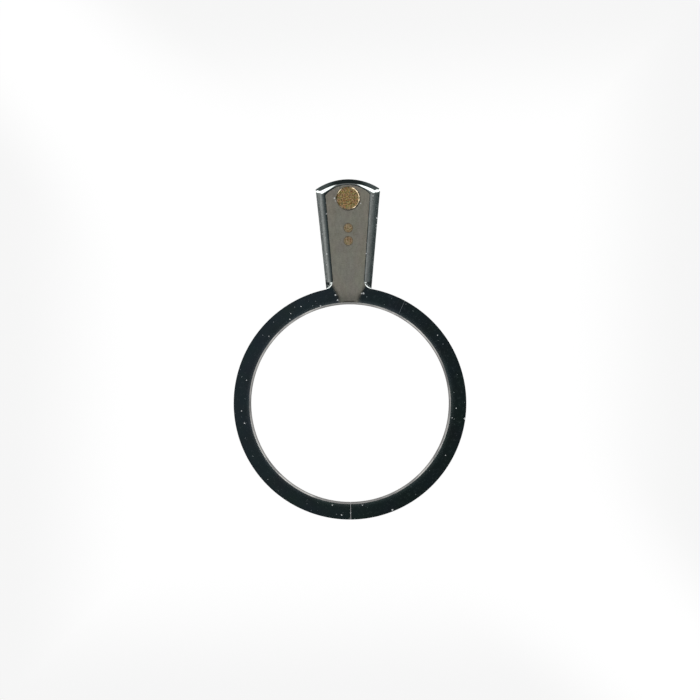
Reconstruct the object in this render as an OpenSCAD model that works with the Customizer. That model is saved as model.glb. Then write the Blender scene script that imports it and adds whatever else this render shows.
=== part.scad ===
// Regulator index of a mechanical wristwatch: a split friction ring with a bevelled arm that
// carries two curb pins and a riveted stud. All sizes are in millimetres.
// The bore axis is Z, the ring's underside is the plane z = 0 and the arm points along +Y.

/* [Ring] */
// Diameter of the cylindrical land at the foot of the bore
bore_d = 3.3; // [2.9:0.05:3.6]
// Width of the ring from the land to its outer wall
ring_w = 0.29; // [0.22:0.01:0.4]
// Thickness of the ring from its underside to the polished top face
ring_t = 0.3; // [0.24:0.01:0.4]
// Height of the land from the underside to the foot of the conical seat
land_h = 0.14; // [0.08:0.01:0.2]
// How much wider the conical seat is at the top face than the land, on each side
seat_flare = 0.04; // [0.02:0.005:0.08]
// Bevel that breaks the outer edges of the ring
edge_break = 0.012; // [0.006:0.001:0.02]
// Width of the saw cut opposite the arm, which lets the ring spring
slit_w = 0.01; // [0.005:0.005:0.06]

/* [Arm] */
// Distance from the stud's axis to the tip of the arm
tip_margin = 0.315; // [0.29:0.005:0.5]
// Width over the flanks where the arm leaves the ring
arm_root_w = 0.76; // [0.7:0.01:0.9]
// Width over the flanks, carried on to the line across the tip
arm_tip_w = 1.11; // [1:0.01:1.3]
// Radius of the crowned end, seen from above
crown_r = 0.955; // [0.85:0.005:1.3]
// Height of the arm's underside above the underside of the ring
arm_lift = 0.04; // [0.02:0.005:0.08]

/* [Flank bevels] */
// Width of each whole bevel where the arm leaves the ring, seen from above
flank_root_w = 0.13; // [0.08:0.005:0.15]
// Width of each whole bevel, carried on to the line across the tip
flank_tip_w = 0.165; // [0.1:0.005:0.2]
// Width of the shallow inner facet, seen from above
flank_inner_w = 0.05; // [0.03:0.005:0.07]
// Slope of the shallow inner facet
flank_inner_angle = 6; // [3:1:16]
// Slope of the steeper outer facet
flank_outer_angle = 25; // [20:1:40]
// Radius of the run-out between flat and ring, seen from above
runout_r = 0.12; // [0.08:0.01:0.14]
// Slope of the conical wall of the run-out
runout_angle = 31; // [26:1:60]

/* [End bevel] */
// Radius of the flat's rounded end, seen from above
flat_end_r = 0.5; // [0.46:0.01:0.8]
// Width of the shallow inner facet on the centre line, from which it widens to the corners
end_inner_w = 0.04; // [0.02:0.005:0.06]
// Width of the steeper outer facet on the centre line
end_outer_w = 0.06; // [0.04:0.005:0.08]
// Slope of the shallow inner facet
end_inner_angle = 12; // [6:1:16]
// Slope of the steeper outer facet
end_outer_angle = 34; // [26:1:50]

/* [Curb pins] */
// Diameter of each curb pin
curb_pin_d = 0.16; // [0.12:0.005:0.2]
// Clear gap between the curb pins, in which the hairspring plays
curb_gap = 0.055; // [0.03:0.005:0.1]
// Distance from the bore axis to the middle of the curb gap
curb_radius = 2.815; // [2.4:0.005:3.2]
// Length of the curb pins below the underside of the ring
curb_drop = 1.05; // [0.6:0.05:1.4]
// Diameter of the flat at the free end of a curb pin
curb_tip_d = 0.09; // [0.05:0.005:0.11]
// Length of the taper at the free end of a curb pin
curb_tip_l = 0.1; // [0.05:0.01:0.2]

/* [Tail stud] */
// Diameter of the stud
stud_d = 0.39; // [0.3:0.01:0.44]
// Distance from the middle of the curb gap out to the stud's axis
stud_pitch = 0.605; // [0.45:0.005:0.9]
// Height of the stud's head above the top face
stud_proud = 0.02; // [0.01:0.002:0.03]
// Bevel round the head of the stud
stud_bevel = 0.016; // [0.008:0.002:0.03]
// Length of the stud below the underside of the ring
stud_drop = 0.45; // [0.2:0.05:0.8]
// Bevel round the free end of the stud
stud_tip_bevel = 0.04; // [0.02:0.01:0.08]

/* [Fit] */
// Clearance all round a riveted pin in its hole, none when riveted home
rivet_gap = 0; // [0:0.001:0.006]

/* [Hidden] */
$fn = 128;

// Cutters run past what they cut by this much
overrun = 0.1;

bore_r = bore_d / 2;
seat_r = bore_r + seat_flare;
ring_r = bore_r + ring_w;
// The arm starts in the middle of the ring's wall
arm_start = bore_r + ring_w / 2;
stud_y = curb_radius + stud_pitch;
arm_reach = stud_y + tip_margin;
crown_y = arm_reach - crown_r;
flat_end_y = arm_reach - end_outer_w - end_inner_w - flat_end_r;
inner_pin_y = curb_radius - (curb_gap + curb_pin_d) / 2;
outer_pin_y = curb_radius + (curb_gap + curb_pin_d) / 2;

// Half widths of the arm and of its flat at a distance y from the bore axis
function taper(root, tip, y) = root + (tip - root) * (y - ring_r) / (arm_reach - ring_r);
function arm_half(y) = taper(arm_root_w, arm_tip_w, y) / 2;
function flat_half(y) = arm_half(y) - taper(flank_root_w, flank_tip_w, y);

// Turn of the flat's edge from the arm's centre line
flat_angle = atan((flat_half(arm_reach) - flat_half(ring_r)) / (arm_reach - ring_r));

// The lip of the run-out touches the edge of the flat and the inner edge of the ring's bevel
flat_out = [cos(flat_angle), -sin(flat_angle)];
flat_on = [sin(flat_angle), cos(flat_angle)];
lip_r = runout_r + edge_break;
runout_from = [flat_half(ring_r), ring_r] + lip_r * flat_out;
runout_b = runout_from * flat_on;
runout_c = runout_from * runout_from - (ring_r + runout_r) ^ 2;
runout_centre = runout_from + flat_on * (sqrt(runout_b ^ 2 - runout_c) - runout_b);

// Split ring, with a cylindrical land under a conical seat that opens upwards
module ring() {
    rotate_extrude()
        polygon([
            [bore_r, 0],
            [ring_r - edge_break, 0],
            [ring_r, edge_break],
            [ring_r, ring_t - edge_break],
            [ring_r - edge_break, ring_t],
            [seat_r, ring_t],
            [bore_r, land_h]
        ]);
}

// Saw cut through the ring's wall, opposite the arm
module slit() {
    translate([-slit_w / 2, -ring_r - overrun, -overrun])
        cube([slit_w, ring_r - bore_r + 2 * overrun, ring_t + 2 * overrun]);
}

// Tapered blank of the arm, square-ended
module arm_blank() {
    translate([0, 0, arm_lift])
        linear_extrude(ring_t - arm_lift)
            polygon([
                [-arm_half(arm_start), arm_start],
                [arm_half(arm_start), arm_start],
                [arm_half(arm_reach), arm_reach],
                [-arm_half(arm_reach), arm_reach]
            ]);
}

// All that lies above a plane that falls outwards from the local Y axis
module above_slope(angle) {
    rotate([0, angle, 0])
        translate([0, -arm_reach, 0])
            cube([arm_reach, 3 * arm_reach, ring_t]);
}

// Waste over the two facets of the right-hand flank
module flank_waste() {
    translate([flat_half(ring_r), ring_r, ring_t])
        rotate([0, 0, -flat_angle]) {
            above_slope(flank_inner_angle);
            translate([flank_inner_w, 0, -flank_inner_w * tan(flank_inner_angle)])
                above_slope(flank_outer_angle);
        }
}

// Cone about a point of the arm's centre line, with radius r at height z and the given slope
module cone_at(y, r, z, angle) {
    translate([0, y, -overrun])
        cylinder(h = z + overrun + r * tan(angle), r1 = r + (z + overrun) / tan(angle), r2 = 0);
}

// Solid whose rim is the crowned end with its two facets
module crown() {
    inner_drop = end_inner_w * tan(end_inner_angle);
    intersection() {
        translate([0, crown_y, -overrun])
            cylinder(h = ring_t + overrun, r = crown_r);
        cone_at(crown_y, crown_r - end_outer_w, ring_t - inner_drop, end_outer_angle);
        cone_at(flat_end_y, flat_end_r, ring_t, end_inner_angle);
    }
}

// Waste outside the crowned end
module end_waste() {
    difference() {
        translate([-arm_tip_w, crown_y, -overrun / 2])
            cube([2 * arm_tip_w, crown_r + overrun, ring_t + overrun]);
        crown();
    }
}

// Cutter that leaves the conical run-out, its lip bevelled like the ring's edges
module runout_cutter() {
    lip_z = ring_t - edge_break;
    translate([runout_centre[0], runout_centre[1], 0])
        rotate_extrude()
            polygon([
                [0, lip_z - runout_r * tan(runout_angle)],
                [runout_r, lip_z],
                [lip_r, ring_t],
                [lip_r, ring_t + overrun],
                [0, ring_t + overrun]
            ]);
}

// Right-hand run-out of the bevels, left standing between the flat and the ring
module runout() {
    difference() {
        translate([0, 0, arm_lift])
            linear_extrude(ring_t - arm_lift)
                polygon([
                    [0, arm_start],
                    runout_centre * arm_start / (ring_r + runout_r),
                    runout_centre,
                    runout_centre - lip_r * flat_out
                ]);
        runout_cutter();
    }
}

module both_sides() {
    children();
    mirror([1, 0, 0]) children();
}

module bevelled_arm() {
    difference() {
        arm_blank();
        both_sides() flank_waste();
        end_waste();
    }
    intersection() {
        arm_blank();
        both_sides() runout();
    }
}

// Hole for a riveted pin of diameter d at a distance y from the bore axis
module pin_hole(d, y) {
    translate([0, y, -overrun])
        cylinder(h = ring_t + 2 * overrun, d = d + 2 * rivet_gap);
}

module regulator_index() {
    color("slategray")
        difference() {
            union() {
                ring();
                bevelled_arm();
            }
            slit();
            pin_hole(curb_pin_d, inner_pin_y);
            pin_hole(curb_pin_d, outer_pin_y);
            pin_hole(stud_d, stud_y);
        }
}

// Curb pin, filed flush with the top face and tapered at its free end
module curb_pin(y) {
    color("goldenrod")
        translate([0, y, 0])
            rotate_extrude()
                polygon([
                    [0, -curb_drop],
                    [curb_tip_d / 2, -curb_drop],
                    [curb_pin_d / 2, curb_tip_l - curb_drop],
                    [curb_pin_d / 2, ring_t],
                    [0, ring_t]
                ]);
}

module inner_curb_pin() {
    curb_pin(inner_pin_y);
}

module outer_curb_pin() {
    curb_pin(outer_pin_y);
}

// Stud riveted through the arm, its bevelled head just proud of the top face
module tail_stud() {
    stud_r = stud_d / 2;
    head_z = ring_t + stud_proud;
    color("darkgoldenrod")
        translate([0, stud_y, 0])
            rotate_extrude()
                polygon([
                    [0, -stud_drop],
                    [stud_r - stud_tip_bevel, -stud_drop],
                    [stud_r, stud_tip_bevel - stud_drop],
                    [stud_r, head_z - stud_bevel],
                    [stud_r - stud_bevel, head_z],
                    [0, head_z]
                ]);
}

regulator_index();
inner_curb_pin();
outer_curb_pin();
tail_stud();
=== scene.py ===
import math
import bmesh
import bpy
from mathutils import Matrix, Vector
from mathutils.geometry import intersect_plane_plane


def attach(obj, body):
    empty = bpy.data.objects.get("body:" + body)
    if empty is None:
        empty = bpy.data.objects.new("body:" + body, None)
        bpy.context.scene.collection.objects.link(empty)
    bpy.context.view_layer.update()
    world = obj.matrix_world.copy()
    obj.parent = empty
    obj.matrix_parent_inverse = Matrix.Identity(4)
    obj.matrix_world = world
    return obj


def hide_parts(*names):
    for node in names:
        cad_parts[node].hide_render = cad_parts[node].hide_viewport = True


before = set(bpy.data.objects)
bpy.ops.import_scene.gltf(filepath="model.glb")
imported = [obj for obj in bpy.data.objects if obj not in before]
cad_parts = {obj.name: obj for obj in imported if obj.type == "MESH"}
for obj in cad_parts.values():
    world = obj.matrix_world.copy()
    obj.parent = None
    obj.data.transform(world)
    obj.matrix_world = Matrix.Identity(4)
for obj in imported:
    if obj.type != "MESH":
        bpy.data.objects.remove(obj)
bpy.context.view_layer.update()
body = "root"
mm = 0.001
print("frame loaded:", ", ".join(sorted(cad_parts)))


# Pieces are modelled in millimetres and made metres at the end. Tolerances for flat cuts, welding,
# picking points and heights, the least radius of a turned piece, and how far cutters run past
# what they cut
tiny = {"cut": 1e-6, "weld": 1e-5, "pick": 1e-5, "height": 1e-3, "radius": 1e-4}
overrun = 0.1


def leaveEditMode():
    if bpy.context.object and bpy.context.object.mode != "OBJECT":
        bpy.ops.object.mode_set(mode="OBJECT")


def selectOnly(piece=None):
    leaveEditMode()
    bpy.ops.object.select_all(action="DESELECT")
    if piece:
        piece.select_set(True)
        bpy.context.view_layer.objects.active = piece


def newPiece(name):
    piece = bpy.context.object
    piece.name = name
    piece.data.name = name
    return piece


def editPiece(piece, vert=None, face=None):
    # edit mode with only what the test picks selected, or all without a test
    selectOnly(piece)
    bpy.ops.object.mode_set(mode="EDIT")
    bpy.ops.mesh.select_mode(type="FACE" if face else "VERT")
    bpy.ops.mesh.select_all(action="DESELECT" if vert or face else "SELECT")
    work = bmesh.from_edit_mesh(piece.data)
    work.normal_update()
    for test, parts in ((vert, work.verts), (face, work.faces)):
        if test:
            for part in parts:
                if test(part):
                    part.select_set(True)
    bmesh.update_edit_mesh(piece.data)


def sliceOff(piece, point, normal):
    # a flat cut: what lies on the normal's side goes, and the cut is closed
    editPiece(piece)
    bpy.ops.mesh.bisect(plane_co=point, plane_no=normal, use_fill=True, clear_outer=True,
                        threshold=tiny["cut"])
    leaveEditMode()


def chamferRidge(piece, planeA, planeB, width, lean):
    # a flat cut, leaning towards plane B, takes off the ridge where two planes meet
    # each plane is a point and a normal
    ridge = intersect_plane_plane(*planeA, *planeB)[0]
    half = planeA[1].angle(planeB[1]) / 2
    normal = planeA[1].normalized().slerp(planeB[1].normalized(), lean)
    sliceOff(piece, ridge - normal * math.tan(half) * width / 2, normal)


def joinSolids(piece, tool, how):
    selectOnly(piece)
    step = piece.modifiers.new("joined", "BOOLEAN")
    step.operation = how
    step.object = tool
    step.solver = "EXACT"
    bpy.ops.object.modifier_apply(modifier=step.name)
    selectOnly(tool)
    bpy.ops.object.delete()
    selectOnly(piece)


def cleanUp(piece):
    editPiece(piece)
    bpy.ops.mesh.remove_doubles(threshold=tiny["weld"])
    bpy.ops.mesh.normals_make_consistent(inside=False)
    leaveEditMode()


def newBox(name, centre, size):
    selectOnly()
    bpy.ops.mesh.primitive_cube_add(size=1, location=centre, scale=size)
    piece = newPiece(name)
    bpy.ops.object.transform_apply(location=True, scale=True)
    return piece


def turnProfile(name, profile, steps, centre=(0.0, 0.0)):
    # a circle is extruded from one profile point to the next, then the ends are closed
    selectOnly()
    radius, height = profile[0]
    least = tiny["radius"]
    bpy.ops.mesh.primitive_circle_add(vertices=steps, radius=max(radius, least), location=(0, 0, height))
    piece = newPiece(name)
    bpy.ops.object.transform_apply(location=True)
    bpy.ops.object.mode_set(mode="EDIT")
    bpy.ops.mesh.select_mode(type="VERT")
    bpy.ops.mesh.select_all(action="SELECT")
    for nextRadius, nextHeight in profile[1:]:
        grow = max(nextRadius, least) / max(radius, least)
        bpy.ops.mesh.extrude_region_move(TRANSFORM_OT_translate={"value": (0, 0, nextHeight - height)})
        bpy.ops.transform.resize(value=(grow, grow, 1), center_override=(0, 0, nextHeight))
        radius, height = nextRadius, nextHeight
    if radius < least:
        bpy.ops.mesh.merge(type="CENTER")
    bpy.ops.mesh.select_all(action="DESELECT")
    leaveEditMode()
    if profile[0][0] < least:
        editPiece(piece, vert=lambda v: v.co.xy.length < 2 * least and abs(v.co.z - profile[0][1]) < least)
        bpy.ops.mesh.merge(type="CENTER")
    cleanUp(piece)
    editPiece(piece)
    bpy.ops.transform.translate(value=(centre[0], centre[1], 0))
    leaveEditMode()
    return piece


def stackLoops(name, loops):
    # loops of points joined one above the other, for a bevel whose width and slope both vary
    mesh = bpy.data.meshes.new(name)
    work = bmesh.new()
    rings = [[work.verts.new(point) for point in loop] for loop in loops]
    for low, high in zip(rings, rings[1:]):
        for i in range(len(low)):
            work.faces.new((low[i - 1], low[i], high[i], high[i - 1]))
    work.faces.new(rings[0])
    work.faces.new(rings[-1])
    work.to_mesh(mesh)
    work.free()
    piece = bpy.data.objects.new(name, mesh)
    bpy.context.collection.objects.link(piece)
    cleanUp(piece)
    return piece


def roundedCorner(fromPoint, toPoint, bulge, steps):
    # points of a quarter ellipse whose tangents meet at the corner named by bulge
    points = []
    for i in range(steps + 1):
        turn = math.pi / 2 * i / steps
        a, b = 1 - math.cos(turn), 1 - math.sin(turn)
        points.append(tuple(bulge[k] + (fromPoint[k] - bulge[k]) * b + (toPoint[k] - bulge[k]) * a
                            for k in (0, 1)))
    return points


def slope(angle):
    return math.tan(math.radians(angle))


# What counts as a large flat face: how level it lies, and the side of its square in mm
flatFace = {"level": 0.99999, "side": 0.05}


def finishPiece(piece, node, smoothAngle=12):
    cleanUp(piece)
    selectOnly(piece)
    bpy.ops.transform.resize(value=(mm, mm, mm), center_override=(0, 0, 0))
    bpy.ops.object.transform_apply(location=True, rotation=True, scale=True)
    bpy.ops.object.shade_smooth_by_angle(angle=math.radians(smoothAngle))
    # large flat faces keep sharp borders, so that their shading stays flat
    leastArea = (flatFace["side"] * mm) ** 2
    editPiece(piece, face=lambda f: abs(f.normal.z) > flatFace["level"] and f.calc_area() > leastArea)
    bpy.ops.mesh.region_to_loop()
    bpy.ops.mesh.mark_sharp()
    leaveEditMode()
    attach(piece, body)
    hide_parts(node)
    print("built", piece.name, len(piece.data.polygons), "faces")


# Camera: straight above, the part's arm leaning a little to the left. Lengths are in mm, places in
# the picture in pixels, and the lens sees nothing nearer or farther than the clip in metres
camera = {"widthSeen": 11.667, "lens": 300, "sensor": 36, "clip": (0.001, 10), "lean": 0.565,
          "pixel": 1 / 60, "middle": 349.5, "ringCentre": (349.5, 402.75), "topFace": 0.3}


def cameraPlace():
    # the picture's middle, seen from the ring's centre and turned into the part's own axes
    lean = math.radians(camera["lean"])
    right = (camera["middle"] - camera["ringCentre"][0]) * camera["pixel"]
    up = (camera["ringCentre"][1] - camera["middle"]) * camera["pixel"]
    x = right * math.cos(lean) + up * math.sin(lean)
    y = up * math.cos(lean) - right * math.sin(lean)
    return x, y


def addCamera():
    selectOnly()
    x, y = cameraPlace()
    away = camera["widthSeen"] * camera["lens"] / camera["sensor"]
    bpy.ops.object.camera_add(location=(x * mm, y * mm, (camera["topFace"] + away) * mm),
                              rotation=(0, 0, -math.radians(camera["lean"])))
    eye = bpy.context.object
    eye.name = "camera"
    eye.data.lens = camera["lens"]
    eye.data.sensor_width = camera["sensor"]
    eye.data.clip_start, eye.data.clip_end = camera["clip"]
    bpy.context.scene.camera = eye


addCamera()
bpy.context.scene.view_settings.view_transform = "Standard"
print("camera set")


def colour(code):
    # sRGB hex to the linear values that Blender mixes
    parts = [int(code[i:i + 2], 16) / 255 for i in (1, 3, 5)]
    return [p / 12.92 if p <= 0.04045 else ((p + 0.055) / 1.055) ** 2.4 for p in parts] + [1.0]


def addNode(tree, kind, *inputs, named=None, **settings):
    # inputs are numbers, colours, nodes or sockets, in the order of the sockets or by their names
    node = tree.nodes.new("ShaderNode" + kind)
    for setting, value in settings.items():
        setattr(node, setting, value)
    for key, value in list(enumerate(inputs)) + list((named or {}).items()):
        if hasattr(value, "outputs"):
            value = value.outputs[0]
        if isinstance(value, bpy.types.NodeSocket):
            tree.links.new(value, node.inputs[key])
        elif value is not None:
            node.inputs[key].default_value = value
    return node


def newMaterial(name):
    material = bpy.data.materials.new(name)
    material.use_nodes = True
    tree = material.node_tree
    tree.nodes.clear()
    place = addNode(tree, "TexCoord")
    inMm = addNode(tree, "Mapping", place.outputs["Object"], named={"Scale": [1 / mm] * 3})
    return material, tree, inMm


def closeMaterial(tree, **values):
    # the underscores of the names stand for spaces
    shader = addNode(tree, "BsdfPrincipled", named={key.replace("_", " "): v for key, v in values.items()})
    addNode(tree, "OutputMaterial", shader)


def unevenTint(tree, tint, where, size, amount, stretch=1, detail=2, colourful=False):
    # the tint made lighter and darker in patches of a size in mm, stretched along the arm
    place = addNode(tree, "Mapping", where, named={"Scale": (1, 1 / stretch, 1)})
    noise = addNode(tree, "TexNoise", place, named={"Scale": 1 / size, "Detail": detail})
    change = addNode(tree, "VectorMath", noise.outputs["Color" if colourful else 0], [amount] * 3,
                     [1 - amount / 2] * 3, operation="MULTIPLY_ADD")
    return addNode(tree, "VectorMath", tint, change, operation="MULTIPLY")


def addSpots(tree, where, spots, solid=0.7):
    # a mask of small round marks on the top face, each x, y and a radius in mm, with a soft border
    mask = 0.0
    for x, y, radius in spots:
        away = addNode(tree, "VectorMath", where, (x, y, camera["topFace"]), operation="DISTANCE")
        inside = addNode(tree, "MapRange", away.outputs["Value"], radius * solid, radius, 1, 0)
        mask = addNode(tree, "Math", mask, inside, operation="MAXIMUM")
    return mask


smoothly = {"interpolation_type": "SMOOTHSTEP"}


def window(tree, value, rise, fall):
    # 1 between two soft borders
    low = addNode(tree, "MapRange", value, *rise, 0, 1, **smoothly)
    high = addNode(tree, "MapRange", value, *fall, 1, 0, **smoothly)
    return addNode(tree, "Math", low, high, operation="MULTIPLY")


def sparseSpecks(tree, where, specks):
    # small marks in a share of the pattern's cells, all sizes in mm
    cells = addNode(tree, "TexVoronoi", where, named={"Scale": 1 / specks["cell"], "Randomness": 1.0})
    chance = addNode(tree, "SeparateColor", cells.outputs["Color"])
    reach = addNode(tree, "MapRange", chance, 1 - specks["share"], 1, 0, specks["size"] / specks["cell"])
    return addNode(tree, "Math", cells.outputs["Distance"], reach, operation="LESS_THAN")


# Most of a noise pattern's values lie between these, the second pair with a softer contrast
noiseMost = {"strong": (0.35, 0.65), "soft": (0.3, 0.7)}


def fineLines(tree, where, finish):
    # places stretched along the lines that a tool leaves, and how rough the metal is there
    place = addNode(tree, "Mapping", where, named={"Scale": [1 / s for s in finish["stretch"]],
                                                   "Rotation": (0, 0, finish.get("turn", 0))})
    lines = addNode(tree, "TexNoise", place, named={"Scale": 1 / finish["line"], "Detail": 3.0})
    return place, addNode(tree, "MapRange", lines, *noiseMost["strong"], *finish["rough"])


# Hardened steel, black polished on a tin lap: a near-black mirror with a cold tint and a few
# specks of white lint. The arm's flat is stoned instead: a warm grey satin that narrows and
# fades towards the bore, with a short dark line of painted shadow at its foot. The cloudy haze
# is coarser than real, so that it shows at all
top = {"polishTints": ("#acbebc", "#cad6e2"), "slant": (-2.5, 2.5),
       "haze": (0.05, 0.20), "hazeFrom": (0.46, 0.76), "mottle": 0.05,
       "bloomFrom": 1.69, "bloomTo": 1.80, "bloom": 0.22,
       "satinTint": "#aeab9f", "satinRough": (0.56, 0.68), "grain": 0.025, "warmUpTo": 0.4,
       "veeFoot": 0.158, "veeSpread": 0.1, "veeY": 1.69, "veeRise": 0.25, "veeBend": 1.5,
       "veeSoft": 0.06, "fade": (1.69, 1.93, 0.6, 1.0), "armSide": 1.6,
       "shadowLineY": 1.697, "shadowLineHalf": 0.012, "shadowLineX": (0.072, 0.12), "shadowLineDeep": 0.6,
       "shadowLineTint": "#202020",
       "polishClouds": ({"size": 0.35, "amount": 0.3, "detail": 1, "colourful": True},
                        {"size": 0.04, "amount": 0.25}),
       "satinClouds": ({"size": 0.2, "amount": 0.14, "stretch": 2, "detail": 3, "colourful": True},
                       {"size": 0.045, "amount": 0.45, "stretch": 2},
                       {"size": 0.02, "amount": 0.55})}

# White lint: sparse specks and some that lie at places of their own, each x, y and radius in mm
lint = {"cell": 0.16, "size": 0.014, "share": 0.35, "tint": "#e8ebea", "rough": 0.9,
        "spots": ((-0.224, 1.806, 0.016), (-0.190, 1.722, 0.013), (0.210, 1.827, 0.014),
                  (0.243, 1.830, 0.017), (-0.475, 1.626, 0.013), (0.399, 1.625, 0.013),
                  (0.491, 1.600, 0.014), (-0.99, 1.41, 0.012), (-0.80, 1.62, 0.010),
                  (-1.72, 0.40, 0.010), (-1.81, -0.11, 0.011), (-1.34, 1.13, 0.010),
                  (0.69, -1.785, 0.016), (-0.31, -1.695, 0.012), (0.19, -1.70, 0.011),
                  (-0.009, -1.829, 0.013), (-0.160, -1.861, 0.013), (1.47, 1.12, 0.011),
                  (1.77, -0.10, 0.010), (1.70, -0.26, 0.010), (1.91, -0.275, 0.018),
                  (-0.225, 3.42, 0.016), (-0.208, 3.375, 0.010), (0.212, 3.33, 0.011))}

# Finer dust on the polish, and one hairline scratch across the ring
dust = {"cell": 0.06, "size": 0.009, "share": 0.6, "strength": 0.3}
scratch = {"across": (0.908, -0.419, 0), "at": 0.132, "half": 0.004, "fromX": 0.83, "toX": 0.93,
           "strength": 0.2}


def scratchMask(tree, where):
    # a straight line between two x, across being the direction at right angles to it
    away = addNode(tree, "VectorMath", where, scratch["across"], operation="DOT_PRODUCT").outputs["Value"]
    near = addNode(tree, "Math", away, scratch["at"], scratch["half"], operation="COMPARE")
    x = addNode(tree, "SeparateXYZ", where).outputs["X"]
    middle = (scratch["fromX"] + scratch["toX"]) / 2
    long = addNode(tree, "Math", x, middle, scratch["toX"] - middle, operation="COMPARE")
    both = addNode(tree, "Math", near, long, operation="MULTIPLY")
    return addNode(tree, "Math", both, scratch["strength"], operation="MULTIPLY")


def topSteel():
    material, tree, where = newMaterial("steelPolishedAndStoned")
    spot = addNode(tree, "SeparateXYZ", where)
    x = addNode(tree, "Math", spot.outputs["X"], operation="ABSOLUTE")
    y = spot.outputs["Y"]

    # where the satin shows: a V that widens from the bore to the arm
    rise = addNode(tree, "MapRange", y, top["veeY"], top["veeY"] + top["veeRise"], 0, 1, clamp=False)
    rise = addNode(tree, "Math", rise, 0, operation="MAXIMUM")
    rise = addNode(tree, "Math", rise, top["veeBend"], operation="POWER")
    side = addNode(tree, "Math", rise, top["veeSpread"], top["veeFoot"], operation="MULTIPLY_ADD")
    inside = addNode(tree, "Math", side, x, operation="SUBTRACT")
    vee = addNode(tree, "MapRange", inside, -top["veeSoft"], top["veeSoft"], 0, 1, **smoothly)
    fade = addNode(tree, "MapRange", y, *top["fade"], **smoothly)
    satin = addNode(tree, "Math", vee, fade, operation="MULTIPLY")
    onArm = addNode(tree, "Math", y, top["armSide"], operation="GREATER_THAN")
    satin = addNode(tree, "Math", satin, onArm, operation="MULTIPLY")

    # the polish blooms a little towards the bore
    flat = addNode(tree, "VectorMath", where, (1, 1, 0), operation="MULTIPLY")
    radius = addNode(tree, "VectorMath", flat, operation="LENGTH").outputs["Value"]
    bloom = addNode(tree, "MapRange", radius, top["bloomFrom"], top["bloomTo"], top["bloom"], 0)
    cloudy = addNode(tree, "TexNoise", where, named={"Scale": 1 / top["mottle"], "Detail": 3.0})
    haze = addNode(tree, "MapRange", cloudy, *top["hazeFrom"], *top["haze"])
    haze = addNode(tree, "Math", haze, bloom, operation="MAXIMUM")
    grain = addNode(tree, "TexNoise", where, named={"Scale": 1 / top["grain"], "Detail": 2.0})
    stoned = addNode(tree, "MapRange", grain, *noiseMost["soft"], *top["satinRough"])

    # specks, dust and the scratch show on the polish only, lint with a place of its own anywhere
    bare = addNode(tree, "Math", 1.0, satin, operation="SUBTRACT")
    fine = addNode(tree, "Math", sparseSpecks(tree, where, dust), dust["strength"], operation="MULTIPLY")
    sparse = addNode(tree, "Math", sparseSpecks(tree, where, lint), fine, operation="MAXIMUM")
    sparse = addNode(tree, "Math", sparse, scratchMask(tree, where), operation="MAXIMUM")
    sparse = addNode(tree, "Math", sparse, bare, operation="MULTIPLY")
    specks = addNode(tree, "Math", sparse, addSpots(tree, where, lint["spots"]), operation="MAXIMUM")
    rough = addNode(tree, "Mix", satin, named={2: haze, 3: stoned})
    woolly = addNode(tree, "Math", specks, lint["rough"], operation="MULTIPLY")
    rough = addNode(tree, "Math", rough, woolly, operation="MAXIMUM")

    # the polish is a little bluer towards the upper left
    slant = addNode(tree, "VectorMath", where, (-1, 1, 0), operation="DOT_PRODUCT").outputs["Value"]
    slant = addNode(tree, "MapRange", slant, *top["slant"])
    green, blue = (colour(code) for code in top["polishTints"])
    polish = addNode(tree, "Mix", slant, named={6: green, 7: blue}, data_type="RGBA").outputs[2]
    for cloud in top["polishClouds"]:
        polish = unevenTint(tree, polish, where, **cloud)
    stone = colour(top["satinTint"])[:3]
    for cloud in top["satinClouds"]:
        stone = unevenTint(tree, stone, where, **cloud)
    warm = addNode(tree, "MapRange", satin, 0, top["warmUpTo"])
    tint = addNode(tree, "Mix", warm, named={6: polish, 7: stone}, data_type="RGBA").outputs[2]

    # painted shadow: a short dark line across the foot of the V
    shadowLineY = addNode(tree, "Math", y, top["shadowLineY"], top["shadowLineHalf"], operation="COMPARE")
    shadowLineX = addNode(tree, "MapRange", x, *top["shadowLineX"], top["shadowLineDeep"], 0)
    shadowLine = addNode(tree, "Math", shadowLineY, shadowLineX, operation="MULTIPLY")
    tint = addNode(tree, "Mix", shadowLine, named={6: tint, 7: colour(top["shadowLineTint"])},
                   data_type="RGBA").outputs[2]
    tint = addNode(tree, "Mix", specks, named={6: tint, 7: colour(lint["tint"])},
                   data_type="RGBA").outputs[2]
    metal = addNode(tree, "Math", 1.0, specks, operation="SUBTRACT")
    closeMaterial(tree, Base_Color=tint, Metallic=metal, Roughness=rough)
    return material


# The same polish on the bevels, streaked lengthwise by the lap, with small bright nicks
bevelFinish = {"tint": "#c8cecb", "rough": (0.07, 0.20), "line": 0.02, "stretch": (1, 10, 1),
               "clouds": ({"size": 0.05, "amount": 0.6, "stretch": 3, "detail": 3},
                          {"size": 0.025, "amount": 0.6}),
               "nicks": {"cell": 0.06, "size": 0.012, "share": 0.5}, "nickRough": 0.6}


def bevelSteel():
    material, tree, where = newMaterial("steelLappedBevels")
    rough = fineLines(tree, where, bevelFinish)[1]
    nicks = sparseSpecks(tree, where, bevelFinish["nicks"])
    torn = addNode(tree, "Math", nicks, bevelFinish["nickRough"], operation="MULTIPLY")
    rough = addNode(tree, "Math", rough, torn, operation="MAXIMUM")
    tint = colour(bevelFinish["tint"])[:3]
    for cloud in bevelFinish["clouds"]:
        tint = unevenTint(tree, tint, where, **cloud)
    tint = addNode(tree, "Mix", nicks, named={6: tint, 7: colour(lint["tint"])},
                   data_type="RGBA").outputs[2]
    metal = addNode(tree, "Math", 1.0, nicks, operation="SUBTRACT")
    closeMaterial(tree, Base_Color=tint, Metallic=metal, Roughness=rough)
    return material


# The end's bevel comes from a finer lap: a clean mirror
endFinish = {"tint": "#c8cecb", "rough": 0.06, "cloud": {"size": 0.03, "amount": 0.5}}


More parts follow.
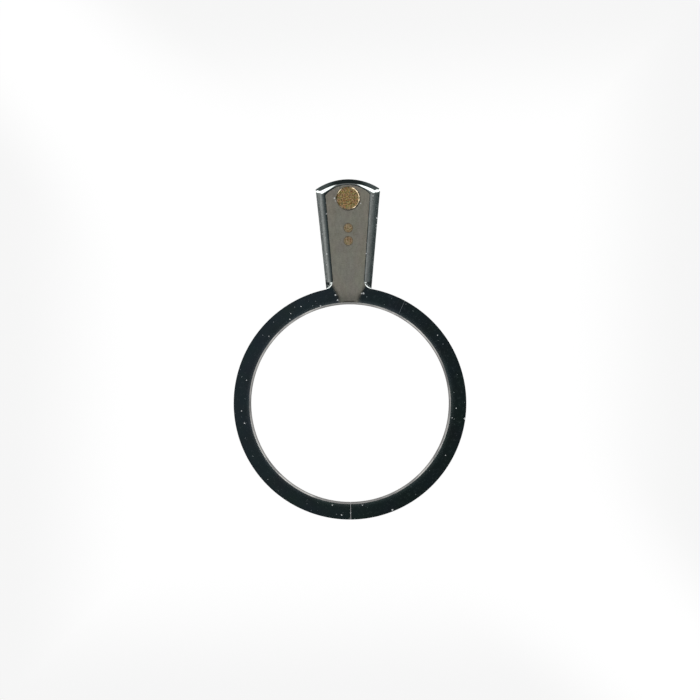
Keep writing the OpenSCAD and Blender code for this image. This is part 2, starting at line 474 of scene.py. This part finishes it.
def endSteel():
    material, tree, where = newMaterial("steelMirrorBevel")
    tint = unevenTint(tree, colour(endFinish["tint"])[:3], where, **endFinish["cloud"])
    closeMaterial(tree, Base_Color=tint, Metallic=1.0, Roughness=endFinish["rough"])
    return material


# The conical seat and the land, left as turned: dull and patchy, with fine rings from the tool, and with
# painted shade and a painted highlight on the cone
turned = {"tint": "#adaba7", "dark": "#626160", "rough": 0.5, "ring": 0.012, "patch": 0.35,
          "patchShare": 0.65, "cleanFrom": (0.38, 0.58), "landTop": 0.14,
          "shadeEnds": (0.1, 0.6, 0.4, 1.15), "shadeSides": (1.2, 1.64, 1.0, 0.6),
          "line": ((0.20, 0.22), (0.31, 0.32)), "highlightTints": (0.5, 1.2)}


def turnedSteel():
    material, tree, where = newMaterial("steelTurned")
    spot = addNode(tree, "SeparateXYZ", where)
    level = addNode(tree, "CombineXYZ", named={"Z": spot.outputs["Z"]})
    rings = addNode(tree, "TexNoise", level, named={"Scale": 1 / turned["ring"], "Detail": 1.0})
    patches = addNode(tree, "TexNoise", where, named={"Scale": 1 / turned["patch"], "Detail": 3.0})
    both = addNode(tree, "Mix", turned["patchShare"], named={2: rings, 3: patches})
    share = addNode(tree, "MapRange", both, *turned["cleanFrom"], **smoothly)
    # the land below the cone stays clean
    land = addNode(tree, "Math", spot.outputs["Z"], turned["landTop"], operation="LESS_THAN")
    share = addNode(tree, "Math", share, land, operation="MAXIMUM")
    tint = addNode(tree, "Mix", share, named={6: colour(turned["dark"]), 7: colour(turned["tint"])},
                   data_type="RGBA").outputs[2]
    # painted shade darkens the cone near the arm and the slit, and halfway round on both sides
    sideways = addNode(tree, "Math", spot.outputs["X"], operation="ABSOLUTE")
    ends = addNode(tree, "MapRange", sideways, *turned["shadeEnds"])
    sides = addNode(tree, "MapRange", sideways, *turned["shadeSides"])
    clean = addNode(tree, "Math", ends, sides, operation="MULTIPLY")
    # a painted highlight makes the upper half of the cone brighter than its foot
    line = window(tree, spot.outputs["Z"], *turned["line"])
    line = addNode(tree, "MapRange", line, 0, 1, *turned["highlightTints"])
    clean = addNode(tree, "Math", clean, line, operation="MULTIPLY")
    # the land takes none of the painted shade or highlight
    clean = addNode(tree, "Math", clean, land, operation="MAXIMUM")
    tint = addNode(tree, "VectorMath", tint, named={"Scale": clean}, operation="SCALE")
    closeMaterial(tree, Base_Color=tint, Metallic=1.0, Roughness=turned["rough"])
    return material


# Ground outer walls and underside: grey steel with fine scratches in the arm's direction. The turn
# only takes them from another part of the pattern
ground = {"tint": "#a9abab", "rough": (0.30, 0.46), "line": 0.015, "stretch": (1, 10, 1), "turn": 0.3,
          "uneven": 0.5}


def groundSteel():
    material, tree, where = newMaterial("steelGround")
    place, rough = fineLines(tree, where, ground)
    tint = unevenTint(tree, colour(ground["tint"])[:3], place, ground["line"], ground["uneven"])
    closeMaterial(tree, Base_Color=tint, Metallic=1.0, Roughness=rough)
    return material


# Brass wire and rod, filed and stoned on top and mottled brown and olive by age, coarser than real.
# Each has the tints of clean brass, olive and brown, and how strong the mottling is. The pin tops
# that turn greyer towards their rims are x, y and radius in mm
brassFinish = {"blotch": 0.04, "fine": 0.02, "speck": 0.026, "rough": (0.45, 0.65),
               "oliveFrom": (0.4, 0.62), "brownFrom": (0.50, 0.66), "mostBrown": 0.6,
               "wire": ("#e1c7a1", "#a0946f", "#ab7b5c", 0.3),
               "rod": ("#ecc992", "#8a7b50", "#a0693f", 1.1),
               "rimGrey": "#8f8b80", "ends": ((0, 2.7075, 0.085), (0, 2.9225, 0.085))}


def stonedBrass(name, clean, olive, brown, mottled, greyRims=()):
    material, tree, where = newMaterial(name)
    blotches = addNode(tree, "TexNoise", where, named={"Scale": 1 / brassFinish["blotch"], "Detail": 3.0})
    fine = addNode(tree, "TexNoise", where, named={"Scale": 1 / brassFinish["fine"], "Detail": 2.0})
    oliveShare = addNode(tree, "MapRange", fine, *brassFinish["oliveFrom"], **smoothly)
    brownShare = addNode(tree, "MapRange", blotches, *brassFinish["brownFrom"], 0, brassFinish["mostBrown"],
                         **smoothly)
    tint = addNode(tree, "Mix", oliveShare, named={6: colour(clean), 7: colour(olive)},
                   data_type="RGBA").outputs[2]
    tint = addNode(tree, "Mix", brownShare, named={6: tint, 7: colour(brown)}, data_type="RGBA").outputs[2]
    tint = unevenTint(tree, tint, where, brassFinish["speck"], mottled, colourful=True)
    if greyRims:
        # the top turns greyer towards its rim
        middle = addSpots(tree, where, greyRims)
        tint = addNode(tree, "Mix", middle, named={6: colour(brassFinish["rimGrey"]), 7: tint},
                       data_type="RGBA").outputs[2]
    rough = addNode(tree, "MapRange", fine, *noiseMost["soft"], *brassFinish["rough"])
    closeMaterial(tree, Base_Color=tint, Metallic=1.0, Roughness=rough)
    return material


# Their sides, as drawn: clear yellow brass with fine lines along the axis
drawnFinish = {"tint": "#d8b67c", "rough": (0.22, 0.36), "line": 0.012, "stretch": (1, 1, 20),
               "uneven": 0.3, "cloud": {"size": 0.2, "amount": 0.2}}


def drawnBrass():
    material, tree, where = newMaterial("brassDrawn")
    place, rough = fineLines(tree, where, drawnFinish)
    tint = unevenTint(tree, colour(drawnFinish["tint"])[:3], place, drawnFinish["line"],
                      drawnFinish["uneven"])
    tint = unevenTint(tree, tint, where, **drawnFinish["cloud"])
    closeMaterial(tree, Base_Color=tint, Metallic=1.0, Roughness=rough)
    return material


# The stud's rim, burnished by the riveting punch: bright brass, broken by patches of tarnish, with
# more of them towards the left and the left side darker, both as painted shade
burnished = {"bright": "#f6e2c0", "tarnish": "#7c6842", "patchesPerMm": 14.0,
             "leftTarnishAndShade": (-0.10, 0.05, 0.04, 0), "tarnishFrom": (0.54, 0.64),
             "leftShade": (-0.15, 0.10, 0.5, 1), "rough": (0.45, 0.6, 0.12, 0.4)}


def burnishedBrass():
    material, tree, where = newMaterial("brassBurnished")
    patches = addNode(tree, "TexNoise", where, named={"Scale": burnished["patchesPerMm"], "Detail": 3.0})
    x = addNode(tree, "SeparateXYZ", where).outputs["X"]
    # patches of tarnish, with more of them towards the left as painted shade
    leftTarnishAndShade = addNode(tree, "MapRange", x, *burnished["leftTarnishAndShade"])
    patches = addNode(tree, "Math", patches, leftTarnishAndShade, operation="ADD")
    share = addNode(tree, "MapRange", patches, *burnished["tarnishFrom"], **smoothly)
    bright, tarnish = colour(burnished["bright"]), colour(burnished["tarnish"])
    tint = addNode(tree, "Mix", share, named={6: bright, 7: tarnish}, data_type="RGBA").outputs[2]
    # painted shade: the left side of the rim darker
    leftShading = addNode(tree, "MapRange", x, *burnished["leftShade"])
    tint = addNode(tree, "VectorMath", tint, named={"Scale": leftShading}, operation="SCALE")
    rough = addNode(tree, "MapRange", patches, *burnished["rough"])
    closeMaterial(tree, Base_Color=tint, Metallic=1.0, Roughness=rough)
    return material


steelTop = topSteel()
steelBevels = bevelSteel()
steelTurned = turnedSteel()
steelGround = groundSteel()
steelEnd = endSteel()
wireBrass = stonedBrass("brassWire", *brassFinish["wire"], greyRims=brassFinish["ends"])
rodBrass = stonedBrass("brassRod", *brassFinish["rod"])
brassSides = drawnBrass()
brassRim = burnishedBrass()
print("materials made")


# Sizes are in mm and degrees. Where the two flanks differ, -1 is the left one and 1 the right one.
# The regulator index: a split ring with a bevelled arm
ring = {"boreR": 1.65, "seatR": 1.68, "outerR": 1.94, "thick": 0.3, "landH": 0.14,
        "edgeBreak": 0.012, "arris": 0.001, "seatArris": 0.004, "steps": 360, "roundSteps": 4}


def buildRing():
    # the profile goes round from the underside outwards and back down the conical seat
    r, t, n = ring["outerR"], ring["thick"], ring["roundSteps"]
    e, a, s = ring["edgeBreak"], ring["arris"], ring["seatArris"]
    boreR, seatR = ring["boreR"], ring["seatR"]
    profile = [(boreR + s, 0)]
    profile += roundedCorner((r - e, 0), (r, e), (r, 0), n)
    profile += roundedCorner((r, t - a), (r - a, t), (r, t), n)
    profile += roundedCorner((seatR + s, t), (seatR - s / 4, t - s), (seatR, t), n)
    profile += [(boreR, ring["landH"])]
    profile += roundedCorner((boreR, s), (boreR + s, 0), (boreR, 0), n)
    return turnProfile("regulatorIndex", profile, ring["steps"])


# Each flank has narrow facets, each with its share of the bevel's width and its slope
arm = {"reach": 3.735, "start": 1.795, "rootW": 0.76, "tipW": 1.11, "lift": 0.04,
       "flankRootW": 0.130, "flankTipW": 0.165,
       "flankMore": {-1: -0.004, 1: 0.007},
       "flankShares": {-1: (0.08, 0.12, 0.13, 0.17, 0.17, 0.15, 0.18),
                       1: (0.12, 0.11, 0.11, 0.14, 0.16, 0.17, 0.19)},
       "flankAngles": {-1: (2.5, 8, 12, 17, 21, 26, 31), 1: (2.5, 8, 12, 17, 22, 28, 33)},
       "mitreW": {-1: 0.036, 1: 0.044}, "mitreLean": 0.65}


def tapered(root, tip, y):
    return root + (tip - root) * (y - ring["outerR"]) / (arm["reach"] - ring["outerR"])


def armHalf(y):
    return tapered(arm["rootW"], arm["tipW"], y) / 2


def flatHalf(y):
    return armHalf(y) - tapered(arm["flankRootW"], arm["flankTipW"], y)


def sideAngle(half):
    y0, y1 = ring["outerR"], arm["reach"]
    return math.atan((half(y1) - half(y0)) / (y1 - y0))


def flankPlanes(side):
    # one plane for each narrow facet of the convex flank, from the flat outwards
    y0, y1, t = ring["outerR"], arm["reach"], ring["thick"]
    planes = []
    gone = drop = 0
    more = arm["flankMore"][side]
    for share, angle in zip(arm["flankShares"][side], arm["flankAngles"][side]):
        inner = [Vector((side * (armHalf(y) - w * (1 - gone)), y, t - w * drop))
                 for y, w in ((y0, arm["flankRootW"] + more), (y1, arm["flankTipW"] + more))]
        along = (inner[1] - inner[0]).normalized()
        out = Vector((side, 0, -slope(angle)))
        normal = along.cross(out).normalized()
        planes.append((inner[0], normal if normal.z > 0 else -normal))
        gone += share
        drop += share * slope(angle)
    return planes


# The crowned end, whose inner facet is made of narrow ones, each with its share and its slope.
# The back of its solid lies inside the bore
end = {"crownR": 0.955, "outerW": 0.064, "flatR": 0.5, "innerW": 0.031, "outerAngle": 30,
       "innerFacets": ((0.15, 3), (0.13, 8), (0.12, 12), (0.2, 15), (0.2, 17.5), (0.2, 20)),
       "cornerTurn": 49, "sweep": 75, "steps": 100, "backX": 1, "backY": 1.2, "backStep": 0.01}


def endPoint(turn, share):
    # a point of the end's bevel: share 0 at the flat, 1 between the two facets, 2 at the outline
    a = math.radians(turn)
    flatY = arm["reach"] - end["outerW"] - end["innerW"] - end["flatR"]
    apart = flatY - (arm["reach"] - end["crownR"])
    radii = [end["flatR"]] + [math.sqrt(r * r - (apart * math.sin(a)) ** 2) - apart * math.cos(a)
                              for r in (end["crownR"] - end["outerW"], end["crownR"])]
    inner, outer = radii[1] - radii[0], radii[2] - radii[1]
    drop = left = 0
    for width, angle in end["innerFacets"]:
        step = min(width, share - left) if share > left else 0
        drop += step * inner * slope(angle)
        left += width
    drop += max(share - 1, 0) * outer * slope(end["outerAngle"])
    r = radii[0] + min(share, 1) * inner + max(share - 1, 0) * outer
    return Vector((r * math.sin(a), flatY + r * math.cos(a), ring["thick"] - drop))


def buildEnd():
    # a solid whose front is the crowned end with its bevel, drawn backwards into the bore
    shares = [0.0]
    for width, angle in end["innerFacets"]:
        shares.append(shares[-1] + width)
    turns = [end["sweep"] * (2 * i / end["steps"] - 1) for i in range(end["steps"] + 1)]
    loops = []
    for i, share in enumerate(shares + [2.0]):
        z = endPoint(0, share).z
        # the back steps outwards too, so that no two loops have the same corner
        out = end["backStep"] * i
        back = [Vector((side * (end["backX"] + out), end["backY"] - out, z)) for side in (1, -1)]
        loops.append([endPoint(turn, share) for turn in turns] + back)
    loops.append([Vector((p.x, p.y, -overrun)) for p in loops[-1]])
    return stackLoops("crownedEnd", loops)


# The run-outs: shallow pockets where the flanks stop at the ring
runout = {"r": 0.144, "lipW": 0.012, "lipAngle": 21, "angle": 35, "innerR": {-1: 0.105, 1: 0.120},
          "innerAngle": 3, "steps": 128, "webFoot": 0.02, "webBack": 0.05, "stopY": 2.02}
lipR = runout["r"] + runout["lipW"]


def flatOut():
    # the direction at right angles to the flat's right edge
    turn = sideAngle(flatHalf)
    return Vector((math.cos(turn), -math.sin(turn)))


def runoutCentre():
    # the run-out's lip touches the edge of the flat and the rim of the ring
    out = flatOut()
    on = Vector((-out.y, out.x))
    start = Vector((flatHalf(ring["outerR"]), ring["outerR"])) + lipR * out
    b = start.dot(on)
    c = start.dot(start) - (ring["outerR"] - ring["arris"] + lipR) ** 2
    return start + on * (math.sqrt(b * b - c) - b)


def runoutCutter(side):
    # a shallow pocket with a conical wall and a bevelled lip
    centre = runoutCentre()
    t, r, inner = ring["thick"], runout["r"], runout["innerR"][side]
    lipZ = t - runout["lipW"] * slope(runout["lipAngle"])
    stepZ = lipZ - (r - inner) * slope(runout["angle"])
    footZ = stepZ - inner * slope(runout["innerAngle"])
    profile = [(0, footZ), (inner, stepZ), (r, lipZ), (lipR, t), (lipR, t + overrun), (0, t + overrun)]
    place = (side * (centre.x - arm["flankMore"][side]), centre.y)
    return turnProfile("cone", profile, runout["steps"], place)


def buildRunouts():
    # a web between flat and ring on each side, hollowed by a cone that leaves the run-out
    centre, out = runoutCentre(), flatOut()
    foot = centre * arm["start"] / centre.length + Vector((runout["webFoot"], 0))
    corners = [Vector((0, arm["start"])), foot, centre + runout["webBack"] * out,
               centre - (lipR + arm["flankMore"][1]) * out]
    deep = ring["thick"] - arm["lift"]
    web = newBox("webs", (0, 0, arm["lift"] + deep / 2), (1, 1, deep))
    # each upright edge of the unit box goes to its corner of the web
    for across, along, corner in zip((-0.5, 0.5, 0.5, -0.5), (-0.5, -0.5, 0.5, 0.5), corners):
        editPiece(web, vert=lambda v: (v.co.xy - Vector((across, along))).length < tiny["pick"])
        bpy.ops.transform.translate(value=(corner.x - across, corner.y - along, 0))
        leaveEditMode()
    turn = sideAngle(armHalf)
    sliceOff(web, (armHalf(ring["outerR"]), ring["outerR"], 0), (math.cos(turn), -math.sin(turn), 0))
    mirrored = web.modifiers.new("bothSides", "MIRROR")
    mirrored.use_mirror_merge = False
    selectOnly(web)
    bpy.ops.object.modifier_apply(modifier=mirrored.name)
    for side in (1, -1):
        joinSolids(web, runoutCutter(side), "DIFFERENCE")
    cleanUp(web)
    return web


def buildArm():
    deep = ring["thick"] - arm["lift"]
    long = arm["reach"] + overrun - arm["start"]
    piece = newBox("armBlank", (0, arm["start"] + long / 2, arm["lift"] + deep / 2),
                   (2 * armHalf(arm["start"]), long, deep))
    editPiece(piece, vert=lambda v: v.co.y > arm["reach"])
    bpy.ops.transform.resize(value=(armHalf(arm["start"] + long) / armHalf(arm["start"]), 1, 1),
                             center_override=(0, arm["reach"], 0))
    leaveEditMode()
    joinSolids(piece, buildEnd(), "INTERSECT")
    cleanUp(piece)
    for side in (1, -1):
        planes = flankPlanes(side)
        for point, normal in planes:
            sliceOff(piece, point, normal)
        # the corner between the flank and the end's outer facet has a narrow polished facet of its own
        turn = side * end["cornerTurn"]
        p, q, r = endPoint(turn - 1, 1), endPoint(turn + 1, 1), endPoint(turn, 2)
        normal = (q - p).cross(r - p).normalized()
        outerFacet = (p, normal if normal.z > 0 else -normal)
        chamferRidge(piece, planes[-1], outerFacet, arm["mitreW"][side], arm["mitreLean"])
    for side in (1, -1):
        # the run-out's cone bites into the foot of the flank
        scoop = runoutCutter(side)
        sliceOff(scoop, (0, runout["stopY"], 0), (0, 1, 0))
        joinSolids(piece, scoop, "DIFFERENCE")
    return piece


# The saw cut: its widths, how far the cutter's middle lies inside the ring's outer wall, how long
# the cutter is and how much thicker than the ring
saw = {"x": -0.006, "topW": 0.008, "footW": 0.002, "inside": 0.1, "long": 0.6, "over": 0.02}


def slitCutter():
    # the ring is closed up at the foot of its saw cut
    slit = newBox("slit", (saw["x"], -ring["outerR"] + saw["inside"], ring["thick"] / 2),
                  (saw["topW"], saw["long"], ring["thick"] + saw["over"]))
    editPiece(slit, vert=lambda v: v.co.z < 0)
    bpy.ops.transform.resize(value=(saw["footW"] / saw["topW"], 1, 1), center_override=(saw["x"], 0, 0))
    leaveEditMode()
    return slit


def holeCutter(y, r, steps):
    high = ring["thick"] + overrun
    return turnProfile("hole", [(0, -overrun), (r, -overrun), (r, high), (0, high)], steps, (0, y))


# The countersink round the stud, left open a hairline on one side
groove = {"w": 0.008, "deep": 0.06, "footIn": 0.004, "off": (0.008, -0.007)}


def grooveCutter():
    # the countersink round the stud, not quite closed by the riveting on one side
    t, r = ring["thick"], stud["r"]
    x, y = groove["off"]
    footR, topR, footZ = r - groove["footIn"], r + groove["w"] / 2, t - groove["deep"]
    profile = [(0, footZ), (footR, footZ), (topR, t), (topR, t + overrun), (0, t + overrun)]
    return turnProfile("groove", profile, stud["steps"], (x, stud["y"] + y))


# How faces of the index are told apart: upward parts of their normals, a height and a distance in mm,
# and how much more the end's faces look along the arm than the flanks do
told = {"flat": 0.9999, "seat": 0.7, "bevel": 0.5, "bevelAbove": 0.15, "seatOver": 0.001, "end": 0.25}


def onEnd(normal):
    # the end's bevel and the corners polished with it
    return normal.y > told["end"] * abs(normal.x)


def finishOf(face):
    # which finish a face of the index has, from where it lies and how it faces
    n, at = face.normal, face.center / mm
    if n.z > told["flat"] and at.z > ring["thick"] - tiny["height"]:
        return steelTop
    inBore = at.xy.length < ring["seatR"] + told["seatOver"]
    if inBore and abs(n.z) < told["seat"] and n.xy.dot(at.xy) < 0:
        return steelTurned
    if n.z > told["bevel"] and at.z > told["bevelAbove"]:
        return steelEnd if at.y > stud["y"] and onEnd(n) else steelBevels
    return steelGround


def buildIndex():
    index = buildRing()
    joinSolids(index, buildRunouts(), "UNION")
    joinSolids(index, buildArm(), "UNION")
    joinSolids(index, slitCutter(), "DIFFERENCE")
    for y in (pins["innerY"], pins["outerY"]):
        joinSolids(index, holeCutter(y, pins["r"], pins["steps"]), "DIFFERENCE")
    joinSolids(index, holeCutter(stud["y"], stud["r"], stud["steps"]), "DIFFERENCE")
    joinSolids(index, grooveCutter(), "DIFFERENCE")
    index.data.materials.clear()
    finishes = [steelTop, steelBevels, steelTurned, steelGround, steelEnd]
    for finish in finishes:
        index.data.materials.append(finish)
    finishPiece(index, "regulator_index")
    for face in index.data.polygons:
        face.material_index = finishes.index(finishOf(face))


# The curb pins, filed flush on top and tapered at the free end
pins = {"innerY": 2.7075, "outerY": 2.9225, "r": 0.08, "bevel": 0.004, "bevelDeep": 0.006,
        "drop": 1.05, "tipR": 0.045, "tipL": 0.1, "steps": 64}

# Upward parts of the normals of the brass pieces' tops and of the stud's rim
brassTop = {"pin": 0.2, "stud": 0.99, "rim": 0.2}


def buildPin(name, node, y):
    t, r, drop = ring["thick"], pins["r"], pins["drop"]
    profile = [(0, -drop), (pins["tipR"], -drop), (r, pins["tipL"] - drop), (r, t - pins["bevelDeep"]),
               (r - pins["bevel"], t), (0, t)]
    piece = turnProfile(name, profile, pins["steps"], (0, y))
    piece.data.materials.append(wireBrass)
    piece.data.materials.append(brassSides)
    finishPiece(piece, node, smoothAngle=25)
    for face in piece.data.polygons:
        face.material_index = 0 if face.normal.z > brassTop["pin"] else 1


# The stud's rim has narrow facets, each with its width and its slope
stud = {"y": 3.42, "r": 0.195, "proud": 0.02, "rim": ((0.002, 18), (0.009, 38), (0.004, 62)),
        "drop": 0.45, "tipBevel": 0.04, "steps": 128}


def buildStud():
    t, r = ring["thick"], stud["r"]
    at = r - sum(width for width, angle in stud["rim"])
    z = t + stud["proud"]
    rim = [(at, z)]
    for width, angle in stud["rim"]:
        at += width
        z -= width * slope(angle)
        rim.append((at, z))
    drop, bevel = stud["drop"], stud["tipBevel"]
    profile = [(0, -drop), (r - bevel, -drop), (r, bevel - drop)] + rim[::-1] + [(0, t + stud["proud"])]
    piece = turnProfile("tailStud", profile, stud["steps"], (0, stud["y"]))
    for finish in (rodBrass, brassRim, brassSides):
        piece.data.materials.append(finish)
    finishPiece(piece, "tail_stud")
    for face in piece.data.polygons:
        up = face.normal.z
        face.material_index = 0 if up > brassTop["stud"] else 1 if up > brassTop["rim"] else 2


buildIndex()
buildPin("innerCurbPin", "inner_curb_pin", pins["innerY"])
buildPin("outerCurbPin", "outer_curb_pin", pins["outerY"])
buildStud()


# White paper at the foot of the curb pins. It glows by itself and so takes no shadow, and its glow
# is a little weaker along the picture's edges, apart from two corners, as painted shade
paper = {"z": -1.05, "half": 400, "tint": "#ffffff", "unlit": "#202020", "seenHalf": 5.9,
         "shade": 0.085, "edge": (0.58, 1.0), "band": (0.1, 0.5)}


def addFloor():
    selectOnly()
    bpy.ops.mesh.primitive_plane_add(size=2 * paper["half"] * mm, location=(0, 0, paper["z"] * mm))
    floor = newPiece("floor")
    material, tree, where = newMaterial("paperWhite")
    x, y = cameraPlace()
    fromMiddle = addNode(tree, "Mapping", where, (-x / paper["seenHalf"], -y / paper["seenHalf"], 0),
                         named={"Scale": [1 / paper["seenHalf"]] * 3})
    spot = addNode(tree, "SeparateXYZ", fromMiddle)
    across = addNode(tree, "Math", spot.outputs["X"], operation="ABSOLUTE")
    up = addNode(tree, "Math", spot.outputs["Y"], operation="ABSOLUTE")
    outwards = addNode(tree, "Math", across, up, operation="MAXIMUM")
    edge = addNode(tree, "MapRange", outwards, *paper["edge"], **smoothly)
    slant = addNode(tree, "Math", spot.outputs["X"], spot.outputs["Y"], operation="ADD")
    slant = addNode(tree, "Math", slant, operation="ABSOLUTE")
    band = addNode(tree, "MapRange", slant, *paper["band"], **smoothly)
    shade = addNode(tree, "Math", edge, band, operation="MULTIPLY")
    glow = addNode(tree, "Math", shade, -paper["shade"], 1.0, operation="MULTIPLY_ADD")
    closeMaterial(tree, Base_Color=colour(paper["unlit"]), Roughness=1.0, Specular_IOR_Level=0.0,
                  Emission_Color=colour(paper["tint"]), Emission_Strength=glow)
    floor.data.materials.append(material)


# Light, told by the slope of each direction: u sideways and v lengthwise, 1 being 45 degrees, with
# -1 for the left side and 1 for the right. Over the arm's end stand bright boxes on both sides, with a
# faint strip between them. Low lights near the horizon have a dark gap in the middle. Over the ring
# hang reflectors, whose brightness is given against u, and past the ring is a pale wall. The
# ceiling is dark and cold. A box has the soft borders where it starts and ends across (u) and along (v)
studio = {"boxGlow": 1.9, "gapGlow": 0.18, "cold": "#dffaff", "plain": "#ffffff",
          "coldUpTo": (0.04, 0.22), "lowest": 0.02,
          "boxes": {-1: ((((0.24, 0.29), (1.5, 1.6)), ((0.40, 0.46), (0.86, 0.92))),
                         (((0.85, 0.95), (1.5, 1.6)), ((0.22, 0.28), (0.98, 1.06))),
                         (((1.5, 1.6), (2.1, 2.2)), ((0.1, 0.2), (0.9, 1.0))),
                         (((2.3, 2.4), (2.9, 3.0)), ((-0.3, -0.2), (1.2, 1.3)))),
                    1: ((((0.18, 0.23), (1.5, 1.6)), ((0.40, 0.46), (0.86, 0.92))),
                        (((0.85, 0.95), (1.5, 1.6)), ((0.22, 0.28), (0.98, 1.06))),
                        (((1.5, 1.6), (2.1, 2.2)), ((0.3, 0.4), (0.9, 1.0))),
                        (((2.3, 2.4), (2.9, 3.0)), ((0.45, 0.55), (1.1, 1.2))))},
          "gapV": ((0.40, 0.46), (0.86, 0.92)),
          "lowR": ((3.2, 3.6), (5.0, 6.0)), "lowU": {-1: (2.3, 2.5), 1: (1.6, 1.8)},
          "lowMid": {-1: 0.0, 1: -1.6}, "lowV": {-1: (0.9, 1.1), 1: (0.5, 0.7)}, "lowGlow": 2.2,
          "front": (0.25, 0.42), "far": ((0.4, 0.8), (1.3, 1.7)), "farGlow": 0.085, "ceiling": 0.028,
          "reflectors": {-1: ((0.0, 0.034), (0.10, 0.03), (0.18, 0.04), (0.36, 0.09), (0.62, 0.23),
                              (0.84, 0.42), (1.03, 0.36), (1.23, 0.22), (1.5, 0.19), (2.5, 0.19)),
                         1: ((0.0, 0.025), (0.10, 0.028), (0.15, 0.16), (0.23, 0.38), (0.36, 0.26),
                             (0.53, 0.215), (0.81, 0.175), (1.03, 0.135), (1.19, 0.105), (2.5, 0.075))},
          "back": ((0.5, 1.2), (2.4, 3.0)), "backGlow": 0.55, "roomUpTo": (0.08, 0.12), "roomGlow": 0.85}


def reflector(tree, out, steps):
    # brightness drawn against the sideways slope, nothing on the other side
    widest = steps[-1][0]
    scaled = addNode(tree, "Math", out, widest, operation="DIVIDE")
    curve = addNode(tree, "FloatCurve", 1.0, scaled)
    points = curve.mapping.curves[0].points
    while len(points) < len(steps):
        points.new(0.5, 0.5)
    for point, (at, strength) in zip(points, steps):
        point.location = (at / widest, strength)
    curve.mapping.update()
    onSide = addNode(tree, "Math", scaled, 0.0, operation="GREATER_THAN")
    return addNode(tree, "Math", curve, onSide, operation="MULTIPLY")


def sideLight(tree, side, u, v, low, front):
    # the boxes, the low light and the reflector of one side
    out = addNode(tree, "Math", u, side, operation="MULTIPLY")
    lit = 0.0
    for across, along in studio["boxes"][side]:
        box = addNode(tree, "Math", window(tree, out, *across), window(tree, v, *along),
                      operation="MULTIPLY")
        lit = addNode(tree, "Math", lit, box, operation="MAXIMUM")
    lit = addNode(tree, "Math", lit, studio["boxGlow"], operation="MULTIPLY")
    # the low light shows in the steep facets of the end and the run-outs
    beside = addNode(tree, "MapRange", out, *studio["lowU"][side])
    beside = addNode(tree, "Math", low, beside, operation="MULTIPLY")
    past = addNode(tree, "Math", v, studio["lowMid"][side], operation="SUBTRACT")
    past = addNode(tree, "Math", past, operation="ABSOLUTE")
    past = addNode(tree, "MapRange", past, *studio["lowV"][side], 0, studio["lowGlow"])
    beside = addNode(tree, "Math", beside, past, operation="MULTIPLY")
    lit = addNode(tree, "Math", lit, beside, operation="MAXIMUM")
    soft = reflector(tree, out, studio["reflectors"][side])
    soft = addNode(tree, "Math", soft, front, operation="MULTIPLY")
    return addNode(tree, "Math", lit, soft, operation="MAXIMUM")


def addLight():
    world = bpy.data.worlds.new("studio")
    bpy.context.scene.world = world
    world.use_nodes = True
    tree = world.node_tree
    tree.nodes.clear()

    way = addNode(tree, "TexCoord").outputs["Generated"]
    level = addNode(tree, "SeparateXYZ", way).outputs["Z"]
    height = addNode(tree, "Math", level, studio["lowest"], operation="MAXIMUM")
    slopes = addNode(tree, "VectorMath", way, height, operation="DIVIDE")
    slopes = addNode(tree, "VectorMath", slopes, (1, 1, 0), operation="MULTIPLY")
    steep = addNode(tree, "VectorMath", slopes, operation="LENGTH").outputs["Value"]
    spread = addNode(tree, "SeparateXYZ", slopes)
    u, v = spread.outputs["X"], spread.outputs["Y"]

    front = addNode(tree, "MapRange", v, *studio["front"], 1, 0, **smoothly)
    low = window(tree, steep, *studio["lowR"])
    glow = addNode(tree, "Math", window(tree, v, *studio["gapV"]), studio["gapGlow"], operation="MULTIPLY")
    for side in (-1, 1):
        glow = addNode(tree, "Math", glow, sideLight(tree, side, u, v, low, front), operation="ADD")

    # the ceiling over the arm's end, with two paler strips, and the wall past the ring
    wide = addNode(tree, "Math", u, operation="ABSOLUTE")
    strips = window(tree, wide, *studio["far"])
    farGlow = addNode(tree, "Math", strips, studio["farGlow"], studio["ceiling"], operation="MULTIPLY_ADD")
    behind = addNode(tree, "Math", 1.0, front, operation="SUBTRACT")
    glow = addNode(tree, "Math", farGlow, behind, glow, operation="MULTIPLY_ADD")
    backwards = addNode(tree, "Math", v, -1.0, operation="MULTIPLY")
    glow = addNode(tree, "Math", window(tree, backwards, *studio["back"]), studio["backGlow"], glow,
                   operation="MULTIPLY_ADD")

    # the pale room near the horizon
    room = addNode(tree, "MapRange", level, *studio["roomUpTo"], studio["roomGlow"], 0)
    glow = addNode(tree, "Math", glow, room, operation="MAXIMUM")
    white = addNode(tree, "MapRange", glow, *studio["coldUpTo"])
    tint = addNode(tree, "Mix", white, named={6: colour(studio["cold"]), 7: colour(studio["plain"])},
                   data_type="RGBA").outputs[2]
    light = addNode(tree, "Background", tint, glow)
    addNode(tree, "OutputWorld", light)


addFloor()
addLight()
print("studio set")
